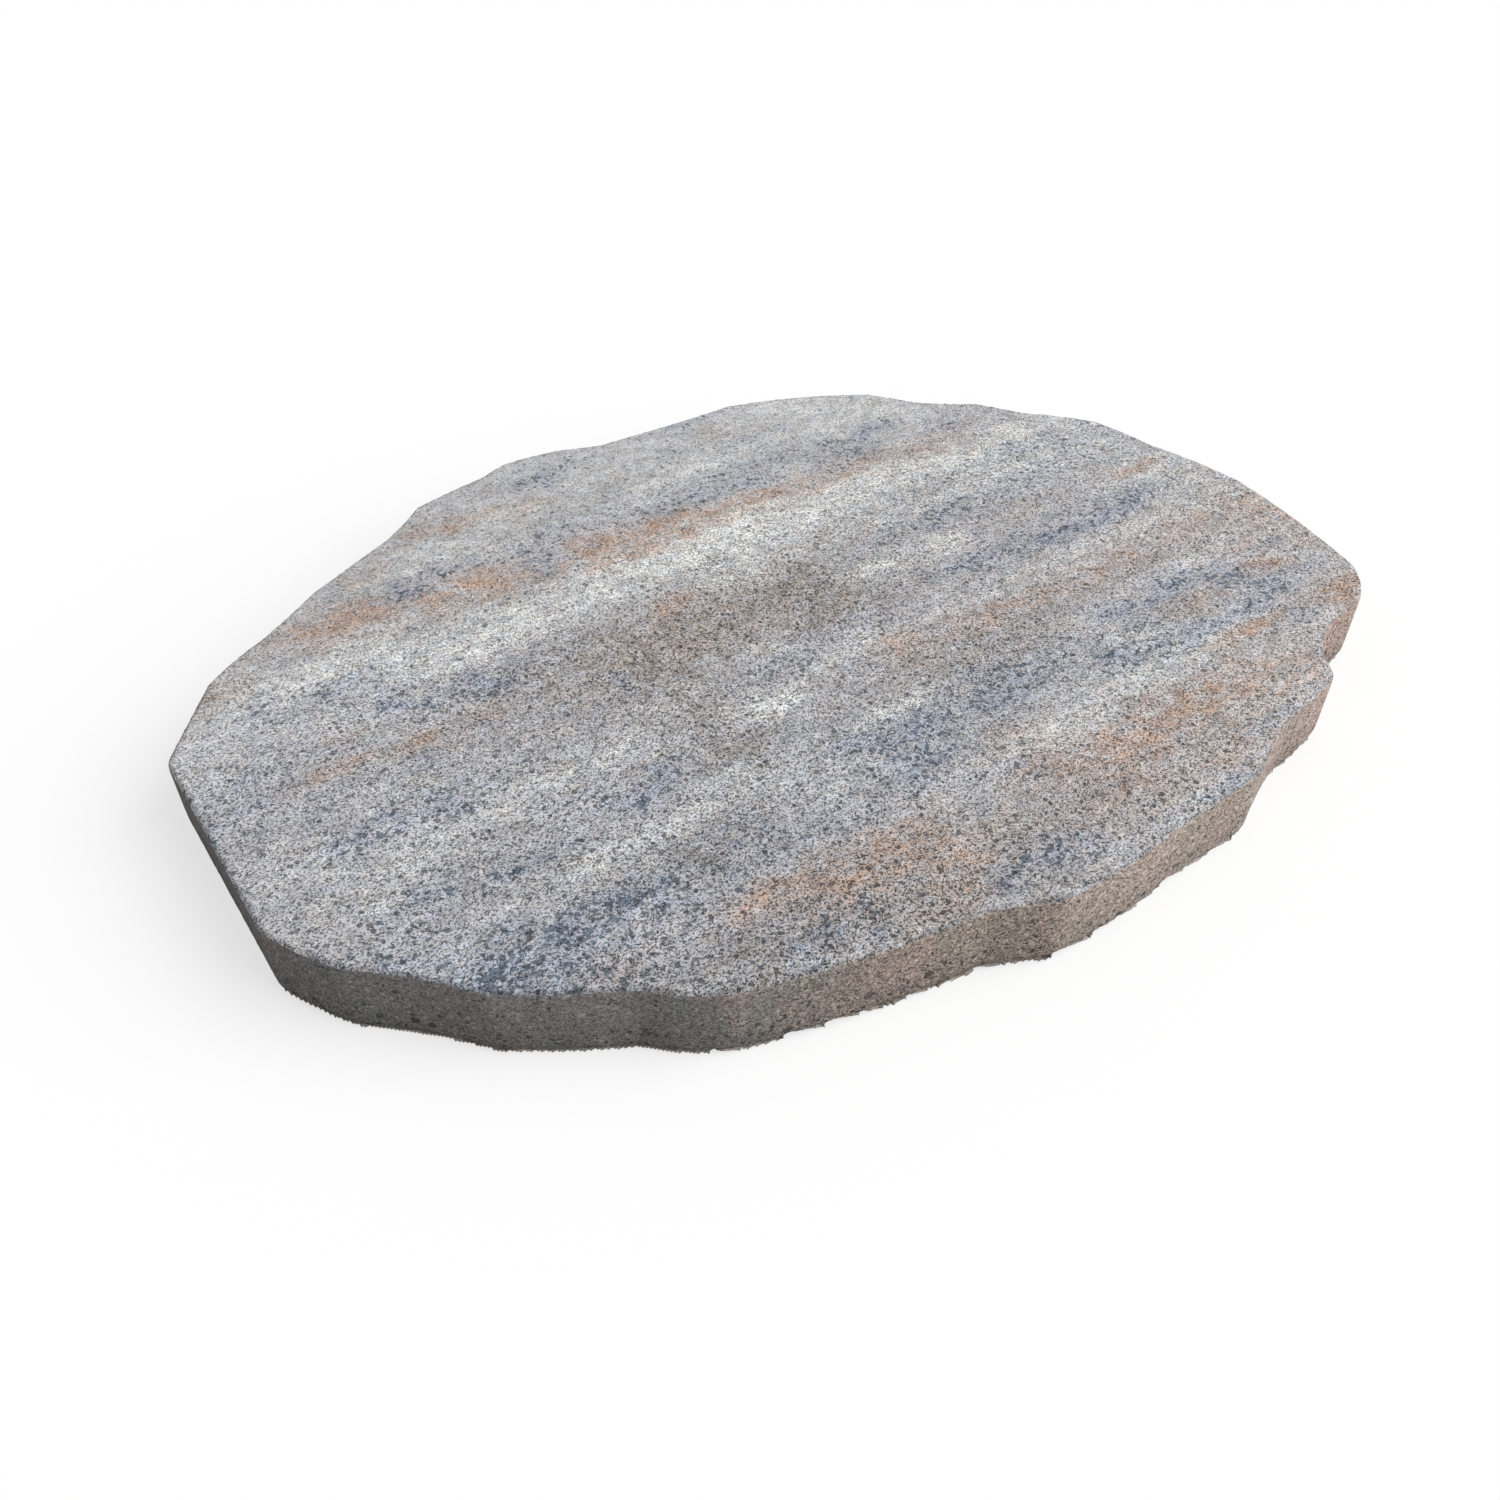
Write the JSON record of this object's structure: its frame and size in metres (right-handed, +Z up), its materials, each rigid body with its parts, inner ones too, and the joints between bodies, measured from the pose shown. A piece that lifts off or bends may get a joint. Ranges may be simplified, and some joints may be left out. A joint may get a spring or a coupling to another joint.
{
  "type": "garden stepping stone",
  "caption": "Flat oval stepping stone of cast concrete with an irregular scalloped edge, upright walls and a spalled lower rim, laid flat on the ground.",
  "frame": {"origin": "middle of the stone's outline box, on the underside", "axes": "+X along the length, which is also the way the colour streaks run, +Y across it, +Z up out of the tread"},
  "size_m": [0.6, 0.45, 0.04],
  "materials": {
    "cast_concrete": "rough granular cast concrete, streaked grey, white, slate blue and rust"
  },
  "bodies": {
    "root": {"stepping_stone": "cast_concrete"}
  },
  "joints": []
}
